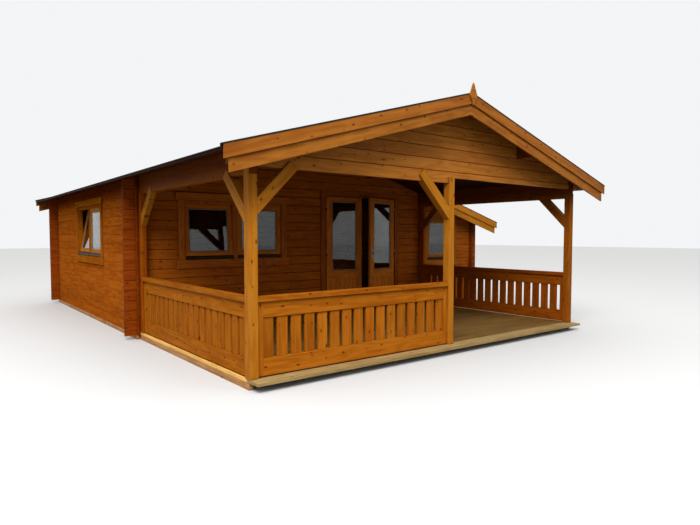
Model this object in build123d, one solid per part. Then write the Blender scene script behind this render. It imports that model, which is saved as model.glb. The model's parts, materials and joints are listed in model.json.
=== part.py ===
from build123d import *
import os
from math import atan, cos, degrees, sin, radians, sqrt

os.makedirs("parts", exist_ok=True)

# Log cabin with a full-width veranda under the same gable roof and a lean-to room on
# its right. While it is modelled, X runs right along the front from the outer face of
# the left corner post, Y runs back from the front faces of the posts, and Z runs up
# from the ground. At the end everything moves to the middle of the footprint.

# Log walls
course = 135.0          # height of one log
log_t = 44.0            # thickness of a wall log
groove = 5.0            # depth of the V at each joint between logs
stub = 158.0            # log ends past a crossing
front_stub = 46.0       # side wall ends in front of the cabin front
wall_base = 55.0        # underside of the lowest log above the ground

# Plan
front_w = 5365.0        # over the outer faces of the corner posts
wall_out = 28.0         # side walls stand this far outside the posts
veranda_d = 3141.0      # post face to cabin front
cabin_d = 5259.0        # cabin front to the outer face of the back wall
annex_w = 1454.0        # lean-to room, over its outer wall
entry_x = 2631.0        # left face of the middle post

# Roof
beam_courses = 14       # logs under the eaves beams
beam_rise = 265.5       # roof boards above the beams' underside, at the posts' outer face
roof_slope = 0.288      # fall over run
roof_board_t = 20.0
felt_t = 8.0
felt_lip = 15.0         # felt past the boards at the eaves
eave_over = 359.5       # roof boards past the corner posts
annex_over = 479.5      # roof boards past the lean-to's outer wall
verge_front = 273.0     # roof boards past the gable logs
verge_back = 345.0      # roof boards past the back wall
verge_rise = 25.0       # bargeboards stand above the roof boards
purlin_w = 70.0
purlin_h = 150.0
purlin_share = 0.5      # side purlins between ridge and side wall

# Bargeboards
barge_t = 18.0
barge_upper = 121.0     # upright height of the upper board
barge_lower = 243.0     # top of the upper board to the lower edge of the lower one
barge_lap = 60.0        # hidden part of the lower board behind the upper one
barge_step = 50.0       # lower board ends short of the upper one
finial_t = 20.0
finial_half = 60.0
finial_rise = 113.0     # tip above the bargeboards
finial_drop = 139.0     # foot below their top
finial_wide = 28.0      # widest point below their top

# Posts, braces and veranda
post = 90.0
wall_post_w = 68.0
wall_post_d = 136.0     # front to back
wall_post_in = 4.0      # outer face of a wall post inside the corner post's
beam_w = 80.0
beam_in = 10.0          # cheek of the post outside the beam
brace_w = 108.0
brace_reach = 430.0     # post face to the foot of a brace's cut at the beam
brace_lap = 60.0        # middle post's brace laps further up the gable log
deck_top = 95.0
deck_board_t = 28.0
deck_board_w = 145.0
deck_gap = 5.0
edging_w = 28.0         # lath along each side of the deck
nosing_w = 210.0        # board along the front of the deck
nosing_out = 145.0      # past the posts
bearer_w = 45.0
bearer_in = 20.0        # bearers start behind the post faces
bearer_pitch = 600.0
foot_beam_w = 70.0

# Railings
rail_top = 748.0        # above the deck
rail_lift = 12.0        # lower board above the deck
rail_cap_t = 48.0
rail_board_t = 40.0
rail_upper_h = 149.0
rail_lower_h = 174.0    # top of the lower board above the deck
stile_w = 62.0
slat_w = 112.0
slat_t = 20.0
slat_gap = 42.0

# Windows
frame_w = 45.0
frame_d = 70.0
sash_t = 40.0
sash_in = 8.0           # face of the sash behind the face of the wall
sash_w = 740.0
sash_h = 749.0
sash_stile = 60.0
sash_rail_low = 51.0
sash_play = 1.5         # under the head of the frame
mullion_w = 70.0
frame_low = 53.0
sill_z = 1048.0         # underside of the window frames
trim_w = 90.0
trim_t = 20.0
trim_lap = 30.0         # trim over the frame
sill_h = 118.0
head_h = 105.0
board_t = 28.0          # head and sill boards
board_over = 30.0       # head and sill boards past the side trim
glass_t = 16.0
front_window_share = 0.4564  # middle of the window, from the wall post to the door
side_window_back = 2549.0    # cabin front to the middle of the window
annex_window_off = 519.0     # outer face of the right wall to the middle of the window
annex_window_drop = 135.0
side_tilt = 11.0        # the open side sash leans in, degrees
front_tilt = 4.4        # and the one on the veranda, a little

# Double door, opening outward
door_from_right = 1501.0  # middle of the door to the right corner post's outer face
door_w = 1642.0         # opening between the logs
door_h = 2045.0         # opening above the wall's lowest edge
threshold_h = 70.0
leaf_t = 40.0
leaf_gap = 6.0
meet_gap = 8.0
door_stile = 114.0
door_top_rail = 68.0
door_mid_rail = 137.0
door_low_rail = 150.0
door_glass_sill = 655.0  # glass above the foot of the leaf
panel_sink = 8.0
panel_board = 90.0
leaf_inset = 4.0        # face of the leaf behind the face of the trim
ajar = 15.0             # the right leaf at rest, degrees
hinge_r = 6.0
hinge_pin_r = 3.5
hinge_h = 90.0
hinge_end = 150.0       # outer hinges from the ends of the leaf
hinge_off = 1.0         # barrel in front of the leaf
hinge_plate = 2.0
hinge_play = 0.3
handle_z = 960.0        # above the foot of the leaf
lever_plate_w = 40.0
lever_plate_t = 6.0
lever_plate_up = 70.0
lever_plate_down = 110.0
lever_neck_r = 8.0
lever_len = 124.0
lever_end = 9.0         # lever past the middle of its neck
lever_h = 18.0
lever_t = 14.0
lever_gap = 32.0        # back plate to lever

# Derived positions
left_out = -wall_out
left_in = left_out + log_t
right_out = front_w + wall_out
right_in = right_out - log_t
annex_out = right_out + annex_w
annex_in = annex_out - log_t
y_front = veranda_d
y_in = veranda_d + log_t
y_back = veranda_d + cabin_d
y_back_in = y_back - log_t
ridge_x = front_w / 2
beam_z = wall_base + beam_courses * course
ridge_top = beam_z + beam_rise + roof_slope * ridge_x
roof_v = roof_board_t / cos(atan(roof_slope))
felt_v = felt_t / cos(atan(roof_slope))
gable_y = (post - log_t) / 2
roof_y0 = gable_y - verge_front
roof_y1 = y_back + verge_back
eave_l = -eave_over
eave_r = front_w + eave_over
annex_eave = annex_out + annex_over
annex_y0 = y_front - verge_front
front_joint = wall_base + course / 2
gable_z = beam_z + course / 2
entry_z = gable_z + course / 2
lap = course / 2
brace_v = brace_w * sqrt(2)


def roof_top(x):
    return ridge_top - roof_slope * abs(x - ridge_x)


def soffit(x):
    return roof_top(x) - roof_v


def block(x0, x1, y0, y1, z0, z1):
    return Pos((x0 + x1) / 2, (y0 + y1) / 2, (z0 + z1) / 2) * Box(x1 - x0, y1 - y0, z1 - z0)


def face_xz(points, y0, y1):
    """An outline in X and Z, drawn out along Y."""
    plane = Plane.XZ.offset(-y0)
    return extrude(plane * make_face(Polyline(*points, close=True)), amount=y1 - y0, dir=(0, 1, 0))


def face_yz(points, x0, x1):
    """An outline in Y and Z, drawn out along X."""
    plane = Plane.YZ.offset(x0)
    return extrude(plane * make_face(Polyline(*points, close=True)), amount=x1 - x0, dir=(1, 0, 0))


def log_outline(a, z0, z1, first, faces):
    """Section of a log wall from z0 to z1, with a V at each joint on the near or far face or both."""
    joints = []
    z = first
    while z < z1 - groove * 2:
        if z > z0 + groove * 2:
            joints.append(z)
        z += course
    near = [(a, z0)]
    for z in joints if "near" in faces else []:
        near += [(a, z - groove), (a + groove, z), (a, z + groove)]
    far = [(a + log_t, z1)]
    for z in reversed(joints) if "far" in faces else []:
        far += [(a + log_t, z + groove), (a + log_t - groove, z), (a + log_t, z - groove)]
    return near + [(a, z1)] + far + [(a + log_t, z0)]


def crossing(z0, z1, front):
    """Heights at which the front (or side) logs fill a corner, between z0 and z1."""
    bands = []
    z = wall_base - course / 4 + (0 if front else course / 2)
    while z < z1:
        low, high = max(z, z0), min(z + course / 2, z1)
        if high > low:
            bands.append((low, high))
        z += course
    return bands


def under_roof(y0, y1):
    """All the room below the roof boards, between the eaves."""
    pts = [(eave_l, 0), (annex_eave, 0), (annex_eave, soffit(annex_eave)), (ridge_x, soffit(ridge_x)),
           (eave_l, soffit(eave_l))]
    return face_xz(pts, y0, y1)


sides = [left_out, right_in, annex_in]
fronts = [y_front, y_back_in]


def side_wall(x0, faces):
    """Side wall with pockets where the front and back logs pass through it."""
    top = soffit(x0 if x0 > ridge_x else x0 + log_t)
    wall = face_xz(log_outline(x0, wall_base, top, wall_base, faces), y_front - front_stub, y_back + stub)
    pockets = [block(x0, x0 + log_t, y, y + log_t, low, high)
               for y in fronts for low, high in crossing(wall_base, top, True)]
    return (wall & under_roof(roof_y0, roof_y1)) - pockets


def cross_wall(y0, x0, x1, faces, base=wall_base):
    """Wall along the front, with pockets where the side logs pass through it."""
    top = soffit(min(max(ridge_x, x0), x1))
    wall = face_yz(log_outline(y0, base, top, front_joint, faces), x0, x1)
    pockets = []
    for x in sides:
        if x0 < x < x1:
            reach = soffit(x + log_t) if x < ridge_x else soffit(x)
            for low, high in crossing(base, reach, False):
                pockets.append(block(x, x + log_t, y0, y0 + log_t, low, high))
    return (wall & under_roof(y0 - 1, y0 + log_t + 1)) - (pockets + purlin_list)


parts = {}

# Purlins first, because the gables are notched round them
side_purlin_x = purlin_share * (ridge_x - left_in)


def purlin(x):
    reach = max(abs(x - purlin_w / 2 - ridge_x), abs(x + purlin_w / 2 - ridge_x))
    low = soffit(ridge_x + reach) - purlin_h
    bar = block(x - purlin_w / 2, x + purlin_w / 2, roof_y0, roof_y1, low, ridge_top)
    return bar & under_roof(roof_y0, roof_y1)


purlin_list = [purlin(ridge_x), purlin(ridge_x - side_purlin_x), purlin(ridge_x + side_purlin_x)]
parts["purlins"] = purlin_list

# Windows: sizes shared by the openings and by what fits in them
double_w = 2 * sash_w + mullion_w + 2 * frame_w
single_w = sash_w + 2 * frame_w
window_h = frame_low + sash_h + frame_w


def opening_front(cx, w, z0, h):
    return block(cx - w / 2, cx + w / 2, y_front - trim_t, y_front + frame_d, z0, z0 + h)


# Walls
door_l = front_w - door_from_right - door_w / 2
door_r = door_l + door_w
door_head = wall_base + door_h
post_inner = wall_post_in + wall_post_w
front_window_x = post_inner + front_window_share * (door_l - post_inner)
side_window_y = y_front + side_window_back
annex_window_x = right_out + annex_window_off
parts["left_wall"] = [side_wall(left_out, "near") - block(
    left_out - trim_t, left_out + frame_d, side_window_y - double_w / 2, side_window_y + double_w / 2,
    sill_z, sill_z + window_h)]
parts["right_wall"] = [side_wall(right_in, "near")]
parts["annex_wall"] = [side_wall(annex_in, "far")]
parts["front_wall_left"] = [
    cross_wall(y_front, left_out - stub, door_l, "near")
    - opening_front(front_window_x, double_w, sill_z, window_h)]
parts["front_wall_over_door"] = [cross_wall(y_front, door_l, door_r, "near", door_head)]
parts["front_wall_right"] = [
    cross_wall(y_front, door_r, annex_out + stub, "near")
    - opening_front(annex_window_x, single_w, sill_z - annex_window_drop, window_h)]
parts["back_wall"] = [cross_wall(y_back_in, left_out - stub, annex_out + stub, "far")]


# Veranda gable of logs over the front posts, with the eaves beams passing through it
def eaves_beam(x0, wall_x):
    top = soffit(x0 + beam_w) if x0 < ridge_x else soffit(x0)
    bar = block(x0, x0 + beam_w, 0, y_front, beam_z, ridge_top) & under_roof(-1, y_front + 1)
    low_gable = gable_z if x0 < entry_x else entry_z
    cuts = [block(x0, x0 + beam_w, gable_y, gable_y + log_t, low, high)
            for low, high in crossing(low_gable, top + course, True)]
    cuts.append(block(wall_x, wall_x + log_t, y_front - front_stub, y_front, beam_z - 1, ridge_top))
    return bar - cuts


beam_xs = [beam_in, front_w - beam_in - beam_w]
parts["eaves_beams"] = [eaves_beam(beam_xs[0], left_out), eaves_beam(beam_xs[1], right_in)]
step_x = entry_x + post
gable = face_yz(log_outline(gable_y, gable_z, soffit(ridge_x), front_joint, "near far"),
                left_out - stub, right_out + stub)
gable_cuts = [block(step_x, right_out + stub + 1, gable_y - 1, gable_y + log_t + 1, gable_z - 1, entry_z)]
for x in beam_xs:
    for low, high in crossing(beam_z, soffit(x + beam_w / 2) + course, False):
        gable_cuts.append(block(x, x + beam_w, gable_y, gable_y + log_t, low, high))
parts["veranda_gable"] = [(gable & under_roof(gable_y - 1, gable_y + log_t + 1)) - (gable_cuts + purlin_list)]


# Roof boards and felt
def roof_slab(x0, x1, y0, y1, low, high):
    pts = [(x0, roof_top(x0) + low), (x1, roof_top(x1) + low), (x1, roof_top(x1) + high), (x0, roof_top(x0) + high)]
    return face_xz(pts, y0, y1)


parts["roof_boards_left"] = [roof_slab(eave_l, ridge_x, roof_y0, roof_y1, -roof_v, 0)]
parts["roof_boards_right"] = [roof_slab(ridge_x, eave_r, roof_y0, roof_y1, -roof_v, 0)]
parts["roof_boards_annex"] = [roof_slab(eave_r, annex_eave, annex_y0, roof_y1, -roof_v, 0)]
barge_d = 2 * barge_t
felt_y0, felt_y1 = roof_y0 - barge_d, roof_y1 + barge_d


def felt_sheet(x0, x1, y0, y1):
    """Felt on the boards from y0 to y1, turned up and over the bargeboards at each verge it reaches."""
    sheet = roof_slab(x0, x1, y0, y1, 0, felt_v)
    for y, out in ((y0, -1), (y1, 1)):
        if y in (roof_y0, roof_y1, annex_y0):
            up = sorted([y, y - out * felt_t])
            over = sorted([y - out * felt_t, y + out * barge_d])
            sheet += roof_slab(x0, x1, *up, 0, verge_rise + felt_v)
            sheet += roof_slab(x0, x1, *over, verge_rise, verge_rise + felt_v)
    return sheet


parts["roofing_felt"] = [
    felt_sheet(eave_l - felt_lip, ridge_x, roof_y0, roof_y1),
    felt_sheet(ridge_x, eave_r, roof_y0, roof_y1),
    felt_sheet(eave_r, annex_eave + felt_lip, annex_y0, roof_y1)]


# Bargeboards: the upper board stands proud of the lower one and runs further down
def barge_pair(x_ridge, x_end, y_boards, out):
    way = -1 if x_end < x_ridge else 1
    upper_y = sorted([y_boards + out * barge_t, y_boards + out * barge_d])
    lower_y = sorted([y_boards, y_boards + out * barge_t])
    short = x_end - way * barge_step
    upper = roof_slab(x_ridge, x_end, *upper_y, verge_rise - barge_upper, verge_rise)
    lower = roof_slab(x_ridge, short, *lower_y, verge_rise - barge_lower, verge_rise - barge_upper + barge_lap)
    return [upper, lower]


def finial(y_boards, out):
    y = sorted([y_boards, y_boards + out * finial_t])
    top = ridge_top + verge_rise
    pts = [(ridge_x, top + finial_rise), (ridge_x + finial_half, top - finial_wide),
           (ridge_x, top - finial_drop), (ridge_x - finial_half, top - finial_wide)]
    return face_xz(pts, *y)


parts["bargeboards_front"] = (
    barge_pair(ridge_x, eave_l, roof_y0, -1) + barge_pair(ridge_x, eave_r, roof_y0, -1)
    + [finial(roof_y0 - barge_d, -1)])
parts["bargeboards_back"] = barge_pair(ridge_x, eave_l, roof_y1, 1) + barge_pair(ridge_x, annex_eave, roof_y1, 1)
parts["bargeboards_annex"] = barge_pair(eave_r, annex_eave, annex_y0, -1)


# Posts with forked tops that hold the beam or the gable log
def corner_post(x0, beam_x):
    body = block(x0, x0 + post, 0, post, deck_top, beam_z + lap)
    return body - block(beam_x, beam_x + beam_w, 0, post, beam_z, beam_z + lap)


parts["corner_post_left"] = [corner_post(0, beam_xs[0])]
parts["corner_post_right"] = [corner_post(front_w - post, beam_xs[1])]
middle = block(entry_x, entry_x + post, 0, post, deck_top, gable_z + lap)
parts["middle_post"] = [middle - block(
    entry_x - 1, entry_x + post + 1, gable_y, gable_y + log_t, gable_z, gable_z + lap + 1)]
post_y = y_front - wall_post_d


def wall_post(x0, wall_x):
    body = block(x0, x0 + wall_post_w, post_y, y_front, deck_top, beam_z)
    return body - block(wall_x, wall_x + log_t, y_front - front_stub, y_front, deck_top - 1, beam_z + 1)


wall_post_xs = [wall_post_in, front_w - wall_post_in - wall_post_w]
parts["wall_posts"] = [wall_post(wall_post_xs[0], left_out), wall_post(wall_post_xs[1], right_in)]


# Braces: the body stops under the beam, and an outer cheek laps its face with a square cut
def brace_outline(z, start, way, lap=0.0):
    """A brace up to the height z at 45 degrees, and its cheek that laps the beam above z."""
    def at(u, v):
        return (start + way * u, v)
    body = [at(0, z - brace_reach), at(brace_reach, z), at(brace_reach - brace_v, z),
            at(0, z - brace_reach + brace_v)]
    cheek = [at(brace_reach, z), at(brace_reach + lap, z + lap),
             at(brace_reach + lap - brace_v / 2, z + lap + brace_v / 2), at(brace_reach - brace_v, z)]
    if not lap:
        cheek.pop(1)
    return body, cheek


def brace_x(z, start, way, lap=0.0):
    body, cheek = brace_outline(z, start, way, lap)
    return face_xz(body, 0, post) + face_xz(cheek, 0, gable_y)


def brace_y(z, start, way, x0, x1, cheek_x0, cheek_x1):
    body, cheek = brace_outline(z, start, way)
    return face_yz(body, x0, x1) + face_yz(cheek, cheek_x0, cheek_x1)


parts["braces"] = [
    brace_x(gable_z, post, 1), brace_x(gable_z, entry_x, -1, brace_lap)]
left_cheek = (0, beam_xs[0])
right_cheek = (beam_xs[1] + beam_w, front_w)
parts["braces"] += [
    brace_y(beam_z, post, 1, 0, post, *left_cheek),
    brace_y(beam_z, post_y, -1, wall_post_xs[0], wall_post_xs[0] + wall_post_w, wall_post_xs[0], beam_xs[0]),
    brace_y(beam_z, post, 1, front_w - post, front_w, *right_cheek),
    brace_y(beam_z, post_y, -1, wall_post_xs[1], wall_post_xs[1] + wall_post_w,
            right_cheek[0], wall_post_xs[1] + wall_post_w)]


# Railings: cap, upper and lower boards, end stiles and slats between them
def railing(length):
    """One panel along X from 0 to length, centred on Y = 0, with the deck at Z = 0."""
    half = rail_board_t / 2
    cap_z = rail_top - rail_cap_t
    upper_z = cap_z - rail_upper_h
    solids = [block(0, length, -post / 2, post / 2, cap_z, rail_top),
              block(stile_w, length - stile_w, -half, half, upper_z, cap_z),
              block(stile_w, length - stile_w, -half, half, rail_lift, rail_lower_h),
              block(0, stile_w, -half, half, rail_lift, cap_z),
              block(length - stile_w, length, -half, half, rail_lift, cap_z)]
    room = length - 2 * stile_w
    count = max(2, round((room + slat_gap) / (slat_w + slat_gap)))
    width = min(slat_w, (room - (count - 1) * slat_gap) / count)
    for i in range(count):
        x = stile_w + i * (width + slat_gap)
        solids.append(block(x, x + width, -slat_t / 2, slat_t / 2, rail_lower_h, upper_z))
    return solids


parts["railing_front"] = [Pos(post, post / 2, deck_top) * s for s in railing(entry_x - post)]
side_len = post_y - post
parts["railing_left"] = [Pos(post / 2, post, deck_top) * Rot(0, 0, 90) * s for s in railing(side_len)]
parts["railing_right"] = [Pos(front_w - post / 2, post_y, deck_top) * Rot(0, 0, -90) * s for s in railing(side_len)]

# Deck: boards across, a wide board along the front, laths along the sides, bearers below
bearer_top = deck_top - deck_board_t
in_l, in_r, in_y = edging_w, front_w - edging_w, nosing_w - nosing_out
edge_back = y_front - front_stub
parts["deck_edging"] = [
    block(0, front_w, -nosing_out, in_y, bearer_top, deck_top),
    block(0, in_l, in_y, edge_back, bearer_top, deck_top),
    block(in_r, front_w, in_y, edge_back, bearer_top, deck_top)]
boards = []
y = in_y + deck_gap
while y < y_front:
    board = block(in_l, in_r, y, min(y + deck_board_w, y_front), bearer_top, deck_top)
    if y + deck_board_w > edge_back:
        for x in (left_out, right_in):
            board -= block(x, x + log_t, edge_back, y_front, bearer_top, deck_top)
    boards.append(board)
    y += deck_board_w + deck_gap
parts["veranda_deck"] = boards


def spread(a, b, width, pitch):
    """Left edges of evenly spaced bars of one width, from a to b."""
    count = max(1, round((b - a - width) / pitch))
    return [a + i * (b - a - width) / count for i in range(count + 1)]


foot_front = y_front - (foot_beam_w - log_t) / 2
beams = [block(x, x + bearer_w, bearer_in, edge_back, 0, bearer_top)
         for x in spread(0, front_w, bearer_w, bearer_pitch)]
half = foot_beam_w / 2
foot_back = y_back_in + log_t / 2 + half
for x in sides:
    beams.append(block(x + log_t / 2 - half, x + log_t / 2 + half, foot_front, foot_back, 0, wall_base))
bays = [(left_out, right_in), (right_in, annex_in)]
for a, b in bays:
    x0, x1 = a + log_t / 2 + half, b + log_t / 2 - half
    for y in (y_front + log_t / 2, y_back_in + log_t / 2):
        beams.append(block(x0, x1, y - half, y + half, 0, wall_base))
    inner0, inner1 = y_front + log_t / 2 + half, y_back_in + log_t / 2 - half
    for x in spread(x0 + bearer_pitch / 2, x1 - bearer_pitch / 2, bearer_w, bearer_pitch):
        beams.append(block(x, x + bearer_w, inner0, inner1, 0, bearer_top))
parts["foundation_beams"] = beams
parts["floors"] = [
    block(left_in, right_in, y_in, y_back_in, bearer_top, deck_top),
    block(right_out, annex_in, y_in, y_back_in, bearer_top, deck_top)]


# Windows, each built for an opening in a wall along X whose outer face is at Y = 0
def window_frame(count):
    w = count * sash_w + (count - 1) * mullion_w + 2 * frame_w
    head = window_h - frame_w
    solids = [block(0, w, 0, frame_d, 0, frame_low), block(0, w, 0, frame_d, head, window_h),
              block(0, frame_w, 0, frame_d, frame_low, head), block(w - frame_w, w, 0, frame_d, frame_low, head)]
    for i in range(1, count):
        x = frame_w + i * sash_w + (i - 1) * mullion_w
        solids.append(block(x, x + mullion_w, 0, frame_d, frame_low, head))
    out = trim_w - trim_lap
    wide = out + board_over
    solids += [block(-out, trim_lap, -trim_t, 0, 0, window_h),
               block(w - trim_lap, w + out, -trim_t, 0, 0, window_h),
               block(-wide, w + wide, -board_t, 0, window_h, window_h + head_h),
               block(-wide, w + wide, -board_t, 0, -sill_h, 0)]
    return solids


def sash():
    """A sash with its lower left corner at the origin, outer face at Y = 0, and its glass."""
    glass_h = sash_h - sash_rail_low - sash_stile
    hole = block(sash_stile, sash_w - sash_stile, -1, sash_t + 1, sash_rail_low, sash_rail_low + glass_h)
    wood = block(0, sash_w, 0, sash_t, 0, sash_h - sash_play) - hole
    mid = sash_t / 2
    glass = block(sash_stile, sash_w - sash_stile, mid - glass_t / 2, mid + glass_t / 2,
                  sash_rail_low, sash_rail_low + glass_h)
    return wood, glass


def place_windows(count, place, tilt=0.0):
    """Frame, sashes and panes; the first sash may lean in about the inner edge of its foot."""
    frame, wood, glass = window_frame(count), [], []
    for i in range(count):
        spot = Pos(frame_w + i * (sash_w + mullion_w), sash_in, frame_low)
        if i == 0:
            spot = spot * Pos(0, sash_t, 0) * Rot(-tilt, 0, 0) * Pos(0, -sash_t, 0)
        w, g = sash()
        wood.append(spot * w)
        glass.append(spot * g)
    return [[place * s for s in group] for group in (frame, wood, glass)]


at_front = Pos(front_window_x - double_w / 2, y_front, sill_z)
at_annex = Pos(annex_window_x - single_w / 2, y_front, sill_z - annex_window_drop)
at_side = Pos(left_out, side_window_y + double_w / 2, sill_z) * Rot(0, 0, -90)
parts["front_window_frame"], parts["front_window_sashes"], parts["front_window_glass"] = place_windows(
    2, at_front, front_tilt)
parts["side_window_frame"], parts["side_window_sashes"], parts["side_window_glass"] = place_windows(
    2, at_side, side_tilt)
annex_frame, annex_sash, parts["annex_window_glass"] = place_windows(1, at_annex)
parts["annex_window"] = annex_frame + annex_sash

# Door frame with its trim, threshold and head
jamb_in_l, jamb_in_r = door_l + frame_w, door_r - frame_w
head_z = door_head - frame_w
sill_top = wall_base + threshold_h
out = trim_w - trim_lap
frame_solids = [
    block(door_l, door_r, y_front, y_in, wall_base, sill_top),
    block(door_l, door_r, y_front, y_front + frame_d, head_z, door_head),
    block(door_l, jamb_in_l, y_front, y_front + frame_d, sill_top, head_z),
    block(jamb_in_r, door_r, y_front, y_front + frame_d, sill_top, head_z),
    block(door_l - out, door_l + trim_lap, y_front - trim_t, y_front, deck_top, door_head + out - trim_w),
    block(door_r - trim_lap, door_r + out, y_front - trim_t, y_front, deck_top, door_head + out - trim_w),
    block(door_l - out, door_r + out, y_front - trim_t, y_front, door_head + out - trim_w, door_head + out)]
parts["door_frame"] = frame_solids

# Door leaves, drawn closed and hinged on the left, then mirrored for the right
leaf_w = (jamb_in_r - jamb_in_l - 2 * leaf_gap - meet_gap) / 2
leaf_z0, leaf_z1 = sill_top + leaf_gap, head_z - leaf_gap
leaf_h = leaf_z1 - leaf_z0
leaf_y = y_front - trim_t + leaf_inset
hinge_y = leaf_y - hinge_r - hinge_off
hinge_in = leaf_gap / 2


def leaf_solids():
    """Leaf with its hinge axis at X = 0, Y = 0 and its foot at Z = 0."""
    x0, y0 = hinge_in, leaf_y - hinge_y
    glass_top = leaf_h - door_top_rail
    wood = block(x0, x0 + leaf_w, y0, y0 + leaf_t, 0, leaf_h)
    gx0, gx1 = x0 + door_stile, x0 + leaf_w - door_stile
    wood -= block(gx0, gx1, y0 - 1, y0 + leaf_t + 1, door_glass_sill, glass_top)
    panel_top = door_glass_sill - door_mid_rail
    for a, b in ((y0 - 1, y0 + panel_sink), (y0 + leaf_t - panel_sink, y0 + leaf_t + 1)):
        wood -= block(gx0, gx1, a, b, door_low_rail, panel_top)
    count = max(2, round((gx1 - gx0) / panel_board))
    for i in range(1, count):
        x = gx0 + i * (gx1 - gx0) / count
        cut = [(x - groove, y0 + panel_sink - 1), (x + groove, y0 + panel_sink - 1), (x, y0 + panel_sink + groove)]
        wood -= extrude(Plane.XY.offset(door_low_rail) * make_face(Polyline(*cut, close=True)),
                        amount=panel_top - door_low_rail, dir=(0, 0, 1))
    mid = y0 + leaf_t / 2
    glass = block(gx0, gx1, mid - glass_t / 2, mid + glass_t / 2, door_glass_sill, glass_top)
    return wood, glass


hinge_zs = [hinge_end, (leaf_h - hinge_h) / 2, leaf_h - hinge_end - hinge_h]


def up(z, r, h):
    return Pos(0, 0, z + h / 2) * Cylinder(r, h)


def barrel(z, h):
    """Eight-sided knuckle of a hinge."""
    return Pos(0, 0, z) * extrude(RegularPolygon(hinge_r, 8), h)


def hinge_fixed():
    """Lower knuckle with its plate, and the round pin."""
    solids = []
    y0 = leaf_y - hinge_y
    for z in hinge_zs:
        half_h = hinge_h / 2
        plate = block(-hinge_in, -hinge_in + hinge_plate, 0, y0 + leaf_t, z, z + half_h)
        solids.append(barrel(z, half_h) + up(z, hinge_pin_r, hinge_h) + plate)
    return solids


def hinge_moving():
    """Upper knuckle with its plate, bored for the pin."""
    solids = []
    y0 = leaf_y - hinge_y
    for z in hinge_zs:
        low = z + hinge_h / 2 + hinge_play
        high = z + hinge_h
        knuckle = barrel(low, high - low) + block(
            hinge_in - hinge_plate, hinge_in, 0, y0 + leaf_t, low, high)
        solids.append(knuckle - up(low - 1, hinge_pin_r + hinge_play, high - low + 2))
    return solids


def lever(x, side):
    """Back plate, neck and lever on one face of a leaf; side is -1 outside, 1 inside."""
    face = leaf_y - hinge_y + (0 if side < 0 else leaf_t)
    plate_face = face + side * lever_plate_t
    near = plate_face + side * lever_gap
    plate = block(x - lever_plate_w / 2, x + lever_plate_w / 2, *sorted([face, plate_face]),
                  handle_z - lever_plate_down, handle_z + lever_plate_up)
    neck = Pos(x, (face + near) / 2, handle_z) * Rot(90, 0, 0) * Cylinder(lever_neck_r, abs(near - face))
    bar = block(x + lever_end - lever_len, x + lever_end, *sorted([near, near + side * lever_t]),
                handle_z - lever_h / 2, handle_z + lever_h / 2)
    return plate + neck + bar


wood, glass = leaf_solids()
at_left = Pos(jamb_in_l + hinge_in, hinge_y, leaf_z0)
at_right = Pos(jamb_in_r - hinge_in, hinge_y, leaf_z0)
swing = at_right * Rot(0, 0, ajar)
parts["door_leaf_left"] = [at_left * wood]
parts["door_glass_left"] = [at_left * glass]
parts["door_leaf_right"] = [swing * mirror(wood, Plane.YZ)]
parts["door_glass_right"] = [swing * mirror(glass, Plane.YZ)]
handle_x = hinge_in + leaf_w - door_stile / 2
handles = [lever(handle_x, -1), lever(handle_x, 1)]
parts["door_hinges"] = [at_left * s for s in hinge_fixed()] + [
    at_right * mirror(s, Plane.YZ) for s in hinge_fixed()]
parts["door_hardware_left"] = [at_left * s for s in hinge_moving()]
parts["door_hardware_right"] = [swing * mirror(s, Plane.YZ) for s in hinge_moving() + handles]

# Everything moves to the middle of the footprint, on the ground
x_mid = (eave_l - felt_lip + annex_eave + felt_lip) / 2
y_mid = (felt_y0 - finial_t + felt_y1) / 2
home = Pos(-x_mid, -y_mid, 0)
for name, solids in parts.items():
    placed = [home * s for s in solids]
    shape = placed[0] if len(placed) == 1 else Compound(children=placed)
    export_step(shape, "parts/" + name + ".step")
print("hinges", jamb_in_l + hinge_in - x_mid, jamb_in_r - hinge_in - x_mid, hinge_y - y_mid, leaf_z0)
print("shift", x_mid, y_mid, "nodes", len(parts))
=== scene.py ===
import json
import math
import random

import bmesh
import bpy
from mathutils import Matrix, Vector


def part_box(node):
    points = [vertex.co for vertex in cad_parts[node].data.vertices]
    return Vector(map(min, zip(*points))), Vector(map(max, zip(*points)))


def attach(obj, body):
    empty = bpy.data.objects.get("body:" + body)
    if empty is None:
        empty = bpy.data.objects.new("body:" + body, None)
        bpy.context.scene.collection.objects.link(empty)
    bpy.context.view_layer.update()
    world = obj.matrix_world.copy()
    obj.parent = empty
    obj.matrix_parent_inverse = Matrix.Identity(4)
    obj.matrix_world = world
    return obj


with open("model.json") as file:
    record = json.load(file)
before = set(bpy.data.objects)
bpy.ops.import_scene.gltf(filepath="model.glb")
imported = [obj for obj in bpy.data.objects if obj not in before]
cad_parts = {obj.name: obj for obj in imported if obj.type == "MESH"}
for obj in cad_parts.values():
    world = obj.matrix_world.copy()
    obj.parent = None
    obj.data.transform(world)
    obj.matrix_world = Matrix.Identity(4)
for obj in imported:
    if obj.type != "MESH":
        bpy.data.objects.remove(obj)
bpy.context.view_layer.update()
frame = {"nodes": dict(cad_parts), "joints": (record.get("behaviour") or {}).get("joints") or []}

nodes = frame["nodes"]
rng = random.Random(7)

# Places taken from the frame, in metres: X runs right along the front, Y back and Z up
wall_low, wall_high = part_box("left_wall")
post_low, post_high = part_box("corner_post_left")
deck_low, deck_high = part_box("veranda_deck")
rail_low, rail_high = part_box("railing_front")
pane_low, pane_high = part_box("door_glass_left")
left_out = wall_low.x
annex_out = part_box("annex_wall")[1].x
front_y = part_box("front_wall_left")[0].y
back_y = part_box("back_wall")[1].y
post_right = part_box("corner_post_right")[1].x
ridge_x = (post_low.x + post_right) / 2

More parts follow.
